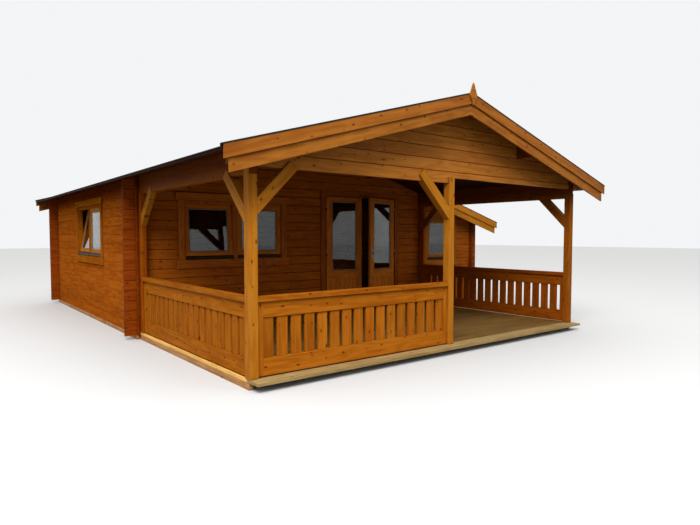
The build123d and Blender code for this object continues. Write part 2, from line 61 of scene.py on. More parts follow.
# Sizes that the solids have too, in metres and degrees
course = 0.135  # height of a log
slope = 0.288  # the roof's fall over its run
deck_board, bearer_w, bearer_count = 0.150, 0.045, 10
lath_in = 0.0285  # from the deck's side to the inner face of the lath along it
# railings: end stiles, the slats' feet and tops over the railing's foot, their thickness, and the cap rail
stile_w, slat_foot, slat_top, slat_t, cap_h = 0.062, 0.162, 0.52, 0.028, 0.045
slat_count, side_pitch = 16, 0.154
slat_pitch = (rail_high.x - rail_low.x - 2 * stile_w) / slat_count
# windows: the boards round the opening, then the sashes in it and their panes
head_board, sill_board, opening_h, board_out, frame_low = 0.105, 0.118, 0.847, 0.090 + 0.045, 0.053
sash_w, mullion_w, sash_stile, sash_foot, sash_head, sash_back = 0.740, 0.070, 0.060, 0.051, 0.060, 0.048
glass_h, glass_face = 0.638, 0.020
front_lean, side_lean = 4.4, 11.0
# the double door: its threshold, a leaf's rails, the gap from leaf to middle, and how far the right one is ajar
threshold, top_rail, foot_rail, lock_rail_low, lock_rail_high = 0.075, 0.068, 0.15, 0.518, 0.655
leaf_gap, door_ajar = 0.004, 15.0

# Felt: the first strip's edge from the ridge along the run, the pitch of the next, and the overlap
lap_start, lap_pitch, lap_w = 0.70, 0.92, 0.088


# Camera
cam = bpy.data.objects.new("camera", bpy.data.cameras.new("camera"))
bpy.context.scene.collection.objects.link(cam)
cam.data.sensor_fit = "HORIZONTAL"
cam.data.sensor_width = 36.0
cam.data.lens = 28.006
cam.data.clip_end = 400.0
cam.location = (-5.7584, -8.5832, 1.3952)
cam.rotation_euler = (math.radians(87.168), 0.0, math.radians(-38.162))
bpy.context.scene.camera = cam
bpy.context.scene.view_settings.view_transform = "Standard"


# Node trees
class Graph:
    """A node tree with short calls for the nodes used here; a value is a socket or a constant."""

    def __init__(self, tree):
        self.tree = tree
        tree.nodes.clear()

    def put(self, socket, value):
        if isinstance(value, bpy.types.NodeSocket):
            self.tree.links.new(value, socket)
        else:
            socket.default_value = value

    def node(self, kind, values=None, **props):
        n = self.tree.nodes.new("ShaderNode" + kind)
        for key, value in props.items():
            setattr(n, key, value)
        for key, value in (values or {}).items():
            self.put(n.inputs[key], value)
        return n

    def math(self, operation, a, b=0.0):
        return self.node("Math", {0: a, 1: b}, operation=operation).outputs[0]

    def add(self, a, b):
        return self.math("ADD", a, b)

    def sub(self, a, b):
        return self.math("SUBTRACT", a, b)

    def mul(self, a, b):
        return self.math("MULTIPLY", a, b)

    def above(self, a, b):
        return self.math("GREATER_THAN", a, b)

    def below(self, a, b):
        return self.math("LESS_THAN", a, b)

    def either(self, a, b):
        return self.math("MAXIMUM", a, b)

    def within(self, value, low, high):
        return self.mul(self.above(value, low), self.below(value, high))

    def level(self, value, start, width):
        """How many widths a value lies past the start."""
        return self.math("DIVIDE", self.sub(value, start), width)

    def wave(self, value, rate, height, middle):
        return self.add(self.mul(self.math("SINE", self.mul(value, rate)), height), middle)

    def blend(self, fac, a, b):
        """a where fac is 0, b where it is 1; mix does the same for colours."""
        return self.add(self.mul(a, self.sub(1.0, fac)), self.mul(b, fac))

    def mix(self, fac, a, b, blend="MIX"):
        n = self.node("Mix", data_type="RGBA", blend_type=blend)
        self.put(n.inputs[0], fac)
        self.put(n.inputs[6], a)
        self.put(n.inputs[7], b)
        return n.outputs[2]

    def tinted(self, fac, colour, tint):
        """The colour, multiplied by the tint where fac is 1."""
        return self.mix(fac, colour, self.mix(1.0, colour, tint, "MULTIPLY"))

    def vec(self, x, y, z):
        return self.node("CombineXYZ", {0: x, 1: y, 2: z}).outputs[0]

    def noise(self, vector, scale=1.0, detail=4.0, rough=0.5, twist=0.0):
        return self.node("TexNoise", {"Vector": vector, "Scale": scale, "Detail": detail, "Roughness": rough,
                                      "Distortion": twist}).outputs[0]

    def random(self, vector):
        return self.node("TexWhiteNoise", {"Vector": vector}, noise_dimensions="3D").outputs[0]

    def ramp(self, fac, *stops):
        n = self.node("ValToRGB", {0: fac})
        while len(n.color_ramp.elements) < len(stops):
            n.color_ramp.elements.new(0.5)
        for element, (at, colour) in zip(n.color_ramp.elements, stops):
            element.position, element.color = at, colour
        return n.outputs[0]

    def step(self, value, low, high):
        """0 below low, 1 above high, smooth between; low may be the higher one."""
        n = self.node("MapRange", {0: value, 1: low, 2: high, 3: 0.0, 4: 1.0}, interpolation_type="SMOOTHSTEP")
        return n.outputs[0]

    def seen(self):
        """1 where the camera sees a surface itself or in gloss or glass, 0 where it only gives light."""
        path = self.node("LightPath")
        return self.either(path.outputs["Is Camera Ray"], self.either(path.outputs["Is Glossy Ray"],
                                                                      path.outputs["Is Transmission Ray"]))


class Material(Graph):
    """A material with one surface shader, and the place and normal on the object."""

    def __init__(self, name):
        self.mat = bpy.data.materials.new(name)
        self.mat.use_nodes = True
        super().__init__(self.mat.node_tree)
        self.bsdf = self.node("BsdfPrincipled")
        self.node("OutputMaterial", {"Surface": self.bsdf.outputs[0]})
        coordinates = self.node("TexCoord")
        self.place, self.normal = coordinates.outputs["Object"], coordinates.outputs["Normal"]
        split = self.node("SeparateXYZ", {0: self.place})
        self.x, self.y, self.z = split.outputs[0], split.outputs[1], split.outputs[2]

    def facing(self, axis):
        """How squarely a face looks along an axis, either way, from 0 to 1."""
        direction = {"X": (1, 0, 0), "Y": (0, 1, 0), "Z": (0, 0, 1)}[axis]
        dot = self.node("VectorMath", {0: self.normal, 1: direction}, operation="DOT_PRODUCT")
        return self.math("ABSOLUTE", dot.outputs["Value"])

    def bump(self, height, strength, distance):
        n = self.node("Bump", {"Height": height, "Strength": strength, "Distance": distance})
        self.put(self.bsdf.inputs["Normal"], n.outputs[0])

    def finish(self, colour, rough, **fixed):
        self.put(self.bsdf.inputs["Base Color"], colour)
        self.put(self.bsdf.inputs["Roughness"], rough)
        for key, value in fixed.items():
            self.bsdf.inputs[key.replace("_", " ")].default_value = value
        return self.mat


def srgb(r, g, b):
    """A colour as the eye reads it, 0 to 255, as linear light."""
    out = []
    for c in (r / 255, g / 255, b / 255):
        out.append(c / 12.92 if c <= 0.04045 else ((c + 0.055) / 1.055) ** 2.4)
    return (*out, 1.0)


# Timber
def stain(light, mid, deep, knot):
    """The colours of one stain, from the palest wood to the knots."""
    return dict(light=srgb(*light), mid=srgb(*mid), deep=srgb(*deep), knot=srgb(*knot))


ORANGE = stain((172, 92, 18), (158, 80, 13), (128, 56, 8), (84, 26, 6))
GOLD = stain((184, 120, 32), (172, 107, 23), (146, 80, 12), (96, 36, 8))
AMBER = stain((174, 104, 25), (160, 89, 17), (134, 66, 9), (88, 30, 6))
UMBER = stain((158, 92, 23), (144, 79, 16), (120, 59, 9), (80, 27, 6))
RUST = stain((154, 80, 16), (140, 69, 11), (114, 50, 8), (76, 24, 6))
DOOR = stain((214, 130, 42), (200, 114, 31), (168, 88, 18), (104, 40, 10))
WALL = stain((182, 100, 26), (168, 87, 20), (138, 62, 12), (88, 28, 8))
GABLE = stain((182, 116, 46), (168, 102, 36), (140, 77, 21), (92, 36, 10))
TRIM = stain((192, 110, 38), (178, 96, 28), (150, 72, 15), (96, 34, 8))
DECK = stain((130, 98, 48), (114, 84, 38), (90, 62, 25), (64, 40, 15))
PALE = stain((168, 147, 98), (151, 126, 78), (124, 99, 55), (90, 66, 33))
VERGE = stain((168, 106, 38), (153, 91, 28), (122, 64, 15), (84, 32, 8))
# painted shade: the dark tone of the roof boards' shaded undersides
SOFFIT_SHADE = stain((70, 34, 14), (56, 26, 10), (40, 18, 8), (24, 10, 5))
EARTH = stain((204, 156, 106), (182, 134, 86), (142, 98, 58), (90, 54, 28))

# How often each part of the figure repeats in a metre, along the grain and across it
WARP, STREAKS, FIBRES, CLOUDS, KNOTS = (0.55, 4.2), (1.4, 30.0), (7.0, 260.0), (1.1, 2.6), (5.6, 11.0)
RINGS, END_RINGS = 62.0, 90.0  # waves over the range of the noise that bends them
OWN_PLACE = (17.0, 5.0)  # how far a board's own numbers move its figure, in metres
KNOT_FREE, KNOT_SIZE = 0.45, 0.24  # share of cells without a knot, and how fast knots grow past it
CORNER_REACH = 0.045  # how near another face brings painted shade and some dirt, in metres
GAP, GAP_SHADE = (0.0050, 0.0015), (0.014, 0.002)  # from a drawn joint: where dark starts, and where it is full
ANY = 0.37  # stands in where a board needs no further number


def wood(name, tone, along="X", depth="Y", turned=None, boards=None, cells=None, islands=True, spread=0.14,
         mottle=1.0, knots=1.0, rough=0.52, gloss=0.05, seam=1.0, ends=0.9, dark_where=None,
         dark_tint=(0.66, 0.52, 0.50, 1.0)):
    """Stained softwood: figure and fibres run along the grain, knots run through the depth.

    along is the grain's axis, or a function that gives the place along, across and through it.
    turned says where the grain stands up along Z instead.
    boards gives the axis, first joint and width of the logs or boards drawn on a wide face.
    cells gives the same for the turned slats of one solid, and islands tells a mesh's loose parts apart.
    spread is how much the stain differs between boards, mottle how much within one.
    seam is how dark drawn joints are, ends how dark cut ends are.
    dark_where says where the colour is multiplied by dark_tint.
    """
    g = Material(name)
    axis = {"X": g.x, "Y": g.y, "Z": g.z}
    straight = not callable(along)
    if straight:
        rest = next(a for a in "XYZ" if a not in (along, depth))
        u, v, w = axis[along], axis[rest], axis[depth]
    else:
        u, v, w = along(g)
    if turned:
        up = turned(g)
        u, v = g.blend(up, u, v), g.blend(up, v, u)

    # three numbers tell a board from the next, and give it figure and stain of its own
    numbers = []
    if boards:
        level = g.level(axis[boards[0]], *boards[1:])
        inside = g.math("FRACT", level)
        joint = g.mul(g.math("MINIMUM", inside, g.sub(1.0, inside)), boards[2])
        numbers.append(g.math("FLOOR", level))
    if cells:
        level = g.level(axis[cells[0]], *cells[1:])
        numbers.append(g.math("ROUND", g.mul(up, g.math("FLOOR", level))))
    if islands:
        numbers.append(g.math("ROUND", g.node("Attribute", attribute_name="board").outputs["Fac"]))
    a, b, c = numbers + [ANY] * (3 - len(numbers))
    own, own2 = g.random(g.vec(a, b, c)), g.random(g.vec(b, c, a))
    u, v = g.add(u, g.mul(own, OWN_PLACE[0])), g.add(v, g.mul(own2, OWN_PLACE[1]))

    def grain(scale, detail, texture, twist=0.0):
        return g.noise(g.vec(g.mul(u, scale[0]), g.mul(v, scale[1]), g.mul(w, scale[1])), 1.0, detail, texture, twist)

    # figure: long warped rings, then streaks and fine fibres
    rings = g.wave(grain(WARP, 3.0, 0.55), RINGS, 0.5, 0.5)
    streak = grain(STREAKS, 5.0, 0.62, 0.4)
    fibre = grain(FIBRES, 2.0, 0.6)
    cloud = grain(CLOUDS, 3.0, 0.6)
    figure = g.add(g.mul(rings, 0.26), g.mul(streak, 0.74))
    colour = g.ramp(figure, (0.12, tone["deep"]), (0.50, tone["mid"]), (0.86, tone["light"]))
    colour = g.mix(g.mul(g.step(cloud, 0.50, 0.72), 0.40 * mottle), colour, tone["deep"])
    colour = g.mix(g.mul(g.step(cloud, 0.46, 0.28), 0.36 * mottle), colour, tone["light"])

    # knots: a dark eye in a red ring, on the faces across the depth and those beside them
    across = v
    if straight:
        across = g.blend(g.above(g.facing(depth), 0.6), g.add(w, own2), v)
    cell = g.node("TexVoronoi", {"Vector": g.vec(g.mul(u, KNOTS[0]), g.mul(across, KNOTS[1]), 0.0), "Scale": 1.0,
                                 "Randomness": 1.0}, voronoi_dimensions="2D")
    near = g.add(cell.outputs["Distance"], g.mul(g.sub(streak, 0.5), 0.05))
    pick = g.node("SeparateColor", {0: cell.outputs["Color"]}).outputs[0]
    size = g.mul(g.sub(pick, KNOT_FREE), KNOT_SIZE * knots)
    ring = g.mul(g.step(g.sub(near, size), 0.07, 0.0), g.above(size, 0.0))
    eye = g.step(g.sub(near, g.mul(size, 0.70)), 0.02, -0.02)
    colour = g.mix(g.mul(ring, 0.50), colour, tone["deep"])
    colour = g.mix(g.mul(eye, 0.90), colour, tone["knot"])

    # each log or board has its own depth of stain
    shade = g.add(1.0 - spread / 2, g.mul(own, spread))
    tint = g.vec(shade, g.mul(shade, g.add(0.96, g.mul(own2, 0.07))), shade)
    colour = g.mix(1.0, colour, tint, "MULTIPLY")

    # cut ends drink more stain
    if straight and not turned:
        cut = g.step(g.facing(along), 0.75, 0.9)
        year = g.noise(g.vec(g.mul(v, 9.0), g.mul(w, 9.0), own), 1.0, 1.0, 0.4)
        year = g.wave(year, END_RINGS, 0.16, 0.62)
        colour = g.tinted(g.mul(cut, ends), colour, g.vec(year, g.mul(year, 0.82), g.mul(year, 0.8)))
    if dark_where:
        colour = g.tinted(dark_where(g), colour, dark_tint)

    # painted shade, with some dirt, darkens the places where boards meet
    ao_for_painted_shade = g.node("AmbientOcclusion", {"Distance": CORNER_REACH}, samples=6).outputs["AO"]
    colour = g.tinted(g.mul(g.step(ao_for_painted_shade, 0.85, 0.30), 0.75), colour, (0.46, 0.34, 0.30, 1.0))
    height = g.add(g.mul(streak, 0.5), g.mul(fibre, 0.5))
    height = g.add(height, g.mul(eye, -0.4))
    if boards:
        gap = g.step(joint, *GAP)
        colour = g.mix(g.mul(g.step(joint, *GAP_SHADE), 0.22 * seam), colour, tone["deep"])
        colour = g.mix(g.mul(gap, 0.85 * seam), colour, tone["knot"])
        height = g.add(height, g.mul(gap, -3.0))
    g.bump(height, 0.35, 0.0012)
    return g.finish(colour, g.add(rough - 0.08, g.mul(figure, 0.16)), Specular_IOR_Level=gloss)


def stub_x(g):
    """The log ends past the side walls."""
    return g.either(g.below(g.x, left_out), g.above(g.x, annex_out))


def stub_y(g):
    """The log ends past the front and back walls."""
    return g.either(g.below(g.y, front_y), g.above(g.y, back_y))


def painted_eaves_shade(g):
    """Painted shade under the eaves: none 0.36 m under the walls' top, full from 0.10 m under it and above."""
    starts, full = wall_high.z - 0.36, wall_high.z - 0.10
    return g.step(g.z, starts, full)


def beside_deck(g):
    """The laths nailed along the deck's two sides, behind the nosing: their grain turns there, and their paler wood
    is brightened further by painted light.
    """
    lath_face, nosing_back = ridge_x - post_low.x - lath_in, deck_low.y - 0.004
    return g.mul(g.above(g.math("ABSOLUTE", g.sub(g.x, ridge_x)), lath_face), g.above(g.y, nosing_back))


def slats_and_stiles(node, run):
    """Where a railing's boards stand up: the slats, and the two end stiles under the cap rail."""
    low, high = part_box(node)
    start, end = (low.x, high.x) if run == "X" else (low.y, high.y)

    def turned(g):
        at = g.x if run == "X" else g.y
        slats = g.within(g.z, low.z + slat_foot, low.z + slat_top)
        stiles = g.either(g.below(at, start + stile_w), g.above(at, end - stile_w))
        return g.either(slats, g.mul(stiles, g.below(g.z, high.z - cap_h)))
    return turned


def between(node, foot, head):
    """Where a frame's boards stand up: between its lowest and its highest board."""
    low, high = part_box(node)
    return lambda g: g.within(g.z, low.z + foot, high.z - head)


def leaf_stiles(g):
    """All of a door leaf but its rails, at the top, above the panel and at the foot."""
    low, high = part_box("door_leaf_left")
    rails = g.either(g.above(g.z, high.z - top_rail),
                     g.either(g.below(g.z, low.z + foot_rail),
                              g.within(g.z, low.z + lock_rail_low, low.z + lock_rail_high)))
    return g.sub(1.0, rails)


def brace_grain(g):
    """Grain along each brace: up and away from the post it stands on, at 45 degrees."""
    beside, right_of, near_wall, diagonal = post_high.y - 0.002, post_high.x + 0.6, front_y - 1.2, 0.7071
    side = g.above(g.y, beside)
    across = g.mul(g.x, g.blend(g.above(g.x, right_of), 1.0, -1.0))
    deep = g.mul(g.y, g.blend(g.above(g.y, near_wall), 1.0, -1.0))
    level = g.blend(side, across, deep)
    return g.mul(g.add(g.z, level), diagonal), g.mul(g.sub(g.z, level), diagonal), g.blend(side, g.y, g.x)


def verge_grain(g):
    """Grain along the two slopes of a gable."""
    run = g.math("ABSOLUTE", g.sub(g.x, ridge_x))
    cos, sin = math.cos(math.atan(slope)), math.sin(math.atan(slope))
    return g.sub(g.mul(run, cos), g.mul(g.z, sin)), g.add(g.mul(run, sin), g.mul(g.z, cos)), g.y


# The logs of the cross walls lie half a course higher than those of the side walls
cross_logs = ("Z", wall_low.z + course / 2, course)
side_logs = ("Z", wall_low.z, course)
wall_x = wood("log_wall_across", WALL, "X", "Y", boards=cross_logs, islands=False, gloss=0.015, dark_where=stub_x)
# the log ends past the front and back walls are darker, and the walls' tops under the eaves get painted shade
wall_y = wood("log_wall_deep", WALL, "Y", "X", boards=side_logs, islands=False, seam=0.0, gloss=0.0,
              dark_where=lambda g: g.either(g.mul(stub_y(g), 0.6), painted_eaves_shade(g)), dark_tint=(0.42, 0.27, 0.22, 1.0))
gable = wood("log_gable", GABLE, "X", "Y", boards=cross_logs, islands=False, spread=0.2)
post_wood = wood("post_timber_upright", GOLD, "Z", "Y")
wall_post_wood = wood("wall_post_timber", ORANGE, "Z", "Y", gloss=0.01)
# the right corner post is a darker copy of the posts' timber: painted shade
right_post_painted_shade = wood("right_post_timber_painted_shade", UMBER, "Z", "Y", gloss=0.01)
# painted shade darkens these beams from 0.36 m under the walls' top upward, fully from 0.10 m under it
beam_y = wood("post_timber_deep", AMBER, "Y", "X", gloss=0.03, dark_where=painted_eaves_shade,
              dark_tint=(0.42, 0.33, 0.30, 1.0))
deck_wood = wood("deck_boards", DECK, "X", "Z", rough=0.6, knots=0.8, spread=0.3)
# the laths beside the deck are multiplied up by painted light, over their paler wood
edge_x = wood("deck_nosing", PALE, "X", "Z", turned=beside_deck, rough=0.62, knots=0.8, spread=0.12,
              dark_where=beside_deck, dark_tint=(2.70, 2.35, 1.60, 1.0))
floor_wood = wood("floor_boards", DECK, "Y", "Z", boards=("X", 0.0, 0.12), islands=False)
under_wood = wood("foundation_timber", EARTH, "Y", "X", rough=0.7, ends=0.1)
# the roof boards' dark tone is painted shade for their undersides
roof_wood = wood("roof_boards", SOFFIT_SHADE, "X", "Z", boards=("Y", 0.0, 0.096), islands=False, rough=0.55)

front_slats = ("X", rail_low.x + stile_w, slat_pitch)
side_slats = ("Y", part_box("railing_left")[0].y, side_pitch)
rail_x = wood("railing_across", AMBER, "X", "Y", turned=slats_and_stiles("railing_front", "X"), cells=front_slats,
              gloss=0.01, spread=0.24, mottle=1.4)
# the right railing is a darker copy of the railing timber: painted shade
right_rail_painted_shade = wood("railing_right_painted_shade", RUST, "Y", "X", turned=slats_and_stiles("railing_right", "Y"),
                  cells=side_slats, gloss=0.01, spread=0.22)
rail_y = wood("railing_deep", AMBER, "Y", "X", turned=slats_and_stiles("railing_left", "Y"), cells=side_slats,
              gloss=0.01, spread=0.22, mottle=1.3)
right_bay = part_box("railing_right")[0].x - 0.7  # the brace in it stands in shade
brace_wood = wood("brace_timber", GOLD, brace_grain, dark_where=lambda g: g.above(g.x, right_bay),
                  dark_tint=(0.60, 0.48, 0.42, 1.0))
verge_wood = wood("bargeboards", VERGE, verge_grain, spread=0.1, mottle=1.5)
annex_verge_wood = wood("annex_bargeboards", GOLD, verge_grain, spread=0.1)

front_trim = wood("front_window_timber", TRIM, "X", "Y",
                  turned=between("front_window_frame", sill_board, head_board))
side_trim = wood("side_window_timber", AMBER, "Y", "X", gloss=0.0,
                 turned=between("side_window_frame", sill_board, head_board))
annex_trim = wood("annex_window_timber", AMBER, "X", "Y", turned=between("annex_window", sill_board, head_board))
front_sash = wood("front_sash_timber", DOOR, "X", "Y", knots=0.6,
                  turned=between("front_window_sashes", sash_foot, sash_head))
side_sash = wood("side_sash_timber", GOLD, "Y", "X", knots=0.6, gloss=0.01,
                 turned=between("side_window_sashes", sash_foot, sash_head))
door_trim = wood("door_frame_timber", ORANGE, "X", "Y", turned=between("door_frame", threshold, head_board))
door_wood = wood("door_leaf_timber", DOOR, "X", "Y", turned=leaf_stiles, knots=0.7)
bead_wood = wood("glazing_bead_timber", AMBER, "Z", "Y", knots=0.0)


# Felt, glass, metal and gaskets
def mineral_felt():
    """Bitumen felt with crushed slate, in strips lapped down the slope."""
    g = Material("mineral_felt")
    grit = g.noise(g.place, 420.0, 3.0, 0.7)
    patch = g.noise(g.place, 1.3, 4.0, 0.6)
    colour = g.ramp(grit, (0.35, srgb(24, 21, 20)), (0.5, srgb(42, 38, 36)), (0.66, srgb(74, 68, 64)))
    colour = g.tinted(g.step(patch, 0.35, 0.75), colour, (0.66, 0.64, 0.62, 1.0))
    washed = g.noise(g.vec(g.mul(g.x, 1.5), g.mul(g.y, 14.0), g.z), 1.0, 4.0, 0.6)
    colour = g.mix(g.mul(g.step(washed, 0.54, 0.78), 0.20), colour, srgb(88, 78, 66))
    level = g.level(g.math("ABSOLUTE", g.sub(g.x, ridge_x)), lap_start + lap_w, lap_pitch)
    strip = g.vec(g.math("FLOOR", level), g.below(g.x, ridge_x), 0.5)
    shade = g.add(0.86, g.mul(0.30, g.random(strip)))
    colour = g.mix(1.0, colour, g.vec(shade, shade, shade), "MULTIPLY")
    past_lap = g.mul(g.math("FRACT", level), lap_pitch)
    colour = g.mix(g.mul(g.step(past_lap, 0.024, 0.004), 0.6), colour, srgb(20, 18, 17))
    g.bump(grit, 0.6, 0.002)
    return g.finish(colour, g.add(0.78, g.mul(patch, 0.15)), Specular_IOR_Level=0.12)


def pane():
    """Clear glass with faint smears."""
    g = Material("window_glass")
    smear = g.noise(g.place, 3.0, 4.0, 0.6)
    colour = g.ramp(smear, (0.3, srgb(206, 216, 214)), (0.7, srgb(226, 233, 231)))
    return g.finish(colour, 0.0, IOR=1.5, Transmission_Weight=1.0)


def metal(name, light, dark, rough, lines_by):
    """Brushed or coated metal with smudges and fine lines, so many in a metre along each axis."""
    g = Material(name)
    lines = g.noise(g.vec(*(g.mul(axis, rate) for axis, rate in zip((g.x, g.y, g.z), lines_by))), 1.0, 3.0, 0.6)
    smudge = g.noise(g.place, 26.0, 4.0, 0.6)
    colour = g.ramp(lines, (0.3, dark), (0.7, light))
    colour = g.mix(g.mul(g.step(smudge, 0.5, 0.75), 0.4), colour, dark)
    g.bump(lines, 0.12, 0.0004)
    return g.finish(colour, g.add(rough, g.mul(smudge, 0.18)), Metallic=1.0)


def gasket():
    """Pale rubber, a little dusty."""
    g = Material("pale_gasket")
    dust = g.noise(g.place, 40.0, 4.0, 0.6)
    g.bump(dust, 0.1, 0.0005)
    colour = g.ramp(dust, (0.35, srgb(112, 104, 92)), (0.65, srgb(144, 136, 122)))
    return g.finish(colour, g.add(0.5, g.mul(dust, 0.2)))


felt = mineral_felt()
glass = pane()
steel = metal("brushed_steel", srgb(138, 134, 128), srgb(92, 88, 82), 0.34, (900.0, 900.0, 24.0))
screw_metal = metal("galvanised_screws", srgb(150, 146, 138), srgb(92, 88, 80), 0.36, (600.0, 600.0, 600.0))
bronze = metal("bronze_coated_metal", srgb(52, 40, 30), srgb(30, 23, 18), 0.42, (24.0, 24.0, 700.0))
pale_gasket = gasket()

finish_of = {
    "front_wall_left": wall_x, "front_wall_right": wall_x, "front_wall_over_door": wall_x, "back_wall": wall_x,
    "left_wall": wall_y, "right_wall": wall_y, "annex_wall": wall_y, "veranda_gable": gable,
    "eaves_beams": beam_y, "purlins": beam_y, "corner_post_left": post_wood, "corner_post_right": right_post_painted_shade,
    "middle_post": post_wood, "wall_posts": wall_post_wood, "braces": brace_wood,
    "railing_front": rail_x, "railing_left": rail_y, "railing_right": right_rail_painted_shade,
    "bargeboards_front": verge_wood, "bargeboards_back": verge_wood, "bargeboards_annex": annex_verge_wood,
    "front_window_frame": front_trim, "side_window_frame": side_trim, "annex_window": annex_trim,
    "front_window_sashes": front_sash, "side_window_sashes": side_sash,
    "door_frame": door_trim, "door_leaf_left": door_wood, "door_leaf_right": door_wood,
    "veranda_deck": deck_wood, "deck_edging": edge_x, "floors": floor_wood, "foundation_beams": under_wood,
    "roof_boards_left": roof_wood, "roof_boards_right": roof_wood, "roof_boards_annex": roof_wood,
    "roofing_felt": felt,
    "door_hinges": bronze, "door_hardware_left": steel, "door_hardware_right": steel,
    **{name: glass for name in nodes if "glass" in name},
}
for name, finish in finish_of.items():
    slots = nodes[name].data.materials
    slots.clear()
    slots.append(finish)


def board_numbers():
    """A node group that writes each solid's number to its points, so that a board's faces share one stain."""
    group = bpy.data.node_groups.new("board_numbers", "GeometryNodeTree")
    for way in ("INPUT", "OUTPUT"):
        group.interface.new_socket("Geometry", in_out=way, socket_type="NodeSocketGeometry")
    start, end = group.nodes.new("NodeGroupInput"), group.nodes.new("NodeGroupOutput")
    island = group.nodes.new("GeometryNodeInputMeshIsland")
    store = group.nodes.new("GeometryNodeStoreNamedAttribute")
    store.data_type, store.domain = "FLOAT", "POINT"
    store.inputs["Name"].default_value = "board"
    group.links.new(start.outputs[0], store.inputs["Geometry"])
    group.links.new(island.outputs["Island Index"], store.inputs["Value"])
    group.links.new(store.outputs[0], end.inputs[0])
    return group


# Planed timber has its corners taken off, by so many millimetres
soft_edges = {
    "corner_post_left": 4, "corner_post_right": 4, "middle_post": 4, "wall_posts": 4, "braces": 4, "eaves_beams": 3,
    "railing_front": 2, "railing_left": 2, "railing_right": 2, "bargeboards_front": 2, "bargeboards_back": 2,
    "bargeboards_annex": 2, "front_window_frame": 2, "side_window_frame": 2, "annex_window": 2,
    "front_window_sashes": 2, "side_window_sashes": 2, "door_frame": 2, "veranda_deck": 3, "deck_edging": 3,
}
sharp_edges = ["purlins", "foundation_beams", "door_leaf_left", "door_leaf_right"]
numbered = board_numbers()
for name in [*soft_edges, *sharp_edges]:
    stack = nodes[name].modifiers
    stack.new("weld", "WELD").merge_threshold = 0.00005
    if name in soft_edges:
        round_off = stack.new("edges", "BEVEL")
        round_off.width = soft_edges[name] / 1000
        round_off.segments = 2
        round_off.limit_method = "ANGLE"
        round_off.angle_limit = math.radians(40)
        round_off.harden_normals = False
    stack.new("boards", "NODES").node_group = numbered
    if name in soft_edges:
        stack.new("normals", "WEIGHTED_NORMAL").keep_sharp = True


# Added pieces
def mesh_object(name, bm, finish):
    """Turns the mesh code's work into an object with one finish."""
    mesh = bpy.data.meshes.new(name)
    bm.to_mesh(mesh)
    bm.free()
    mesh.materials.append(finish)
    obj = bpy.data.objects.new(name, mesh)
    bpy.context.scene.collection.objects.link(obj)
    return obj


def piece(name, bm, finish, body="cabin", smooth=False):
    """An added piece, on its body and with its material slot."""
    bmesh.ops.recalc_face_normals(bm, faces=bm.faces)
    obj = mesh_object(name, bm, finish)
    for face in obj.data.polygons:
        face.use_smooth = smooth
    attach(obj, body)


def skin(bm, rows):
    """Faces between each row of points and the next, all the way round."""
    for a, b in zip(rows, rows[1:]):
        for i in range(len(a)):
            j = (i + 1) % len(a)
            bm.faces.new((a[i], a[j], b[j], b[i]))


def bar(bm, rows):
    """A bar through rows of points, closed at both ends."""
    skin(bm, rows)
    bm.faces.new(rows[0])
    bm.faces.new(list(reversed(rows[-1])))


def sweep(bm, outline, places):
    """A bar through copies of an outline, each given by a function of its points."""
    bar(bm, [[bm.verts.new(place(p)) for p in outline] for place in places])


def ring(bm, sides, outline, at):
    """A mitred frame round a pane: outline points are (inset from the edge, height off the glass)."""
    u0, u1, v0, v1 = sides
    corners = [(u0, v0, 1, 1), (u1, v0, -1, 1), (u1, v1, -1, -1), (u0, v1, 1, -1)]
    rows = [[bm.verts.new(at(u + su * i, v + sv * i, h)) for i, h in outline] for u, v, su, sv in corners]
    skin(bm, rows + rows[:1])


bead_outline = [(0.0, 0.0), (0.0, 0.010), (0.004, 0.0112), (0.008, 0.0096), (0.012, 0.005), (0.012, 0.0)]
gasket_outline = [(0.012, 0.0), (0.012, 0.0045), (0.016, 0.0052), (0.020, 0.0036), (0.0215, 0.0)]
rail_outline = [(0.0, 0.0), (-0.004, -0.001), (-0.016, -0.006), (-0.0185, -0.010), (-0.0185, -0.014),
                (-0.010, -0.0165), (-0.010, -0.040), (-0.013, -0.044), (-0.011, -0.046), (0.0, -0.046)]
rail_inset, rail_proud, rail_up = 0.004, 0.0005, 0.001


def glazing(label, panes, body):
    """Beads and gaskets on the outside of panes, each given by its sides and a function of its points."""
    beads, seals = bmesh.new(), bmesh.new()
    for sides, at in panes:
        ring(beads, sides, bead_outline, at)
        ring(seals, sides, gasket_outline, at)
    piece(label + "_beads", beads, bead_wood, body)
    piece(label + "_gaskets", seals, pale_gasket, body)


def window(label, frame_node, place, count, lean=0.0):
    """Glazing and rain rails: place takes u along the wall, d into it and v up; the first sash may lean in."""
    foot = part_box(frame_node)[1].z - (head_board + opening_h) + frame_low
    cos, sin = math.cos(math.radians(lean)), math.sin(math.radians(lean))

    def shut(u, v, h):
        return place(u, glass_face - h, v)

    def leaning(u, v, h):
        d, up = glass_face - h - sash_back, v - foot
        return place(u, sash_back + d * cos + up * sin, foot - d * sin + up * cos)

    starts = [board_out + i * (sash_w + mullion_w) for i in range(count)]
    low = foot + sash_foot
    panes = [(u + sash_stile, u + sash_w - sash_stile, low, low + glass_h) for u in starts]
    glazing(label, list(zip(panes, [leaning, shut])), "cabin")
    rails = bmesh.new()
    for start in starts:
        ends = (start + rail_inset, start + sash_w - rail_inset)
        sweep(rails, rail_outline, [lambda p, u=end: place(u, p[0] - rail_proud, foot + rail_up + p[1])
                                    for end in ends])
    piece(label + "_rain_rails", rails, bronze, "cabin")


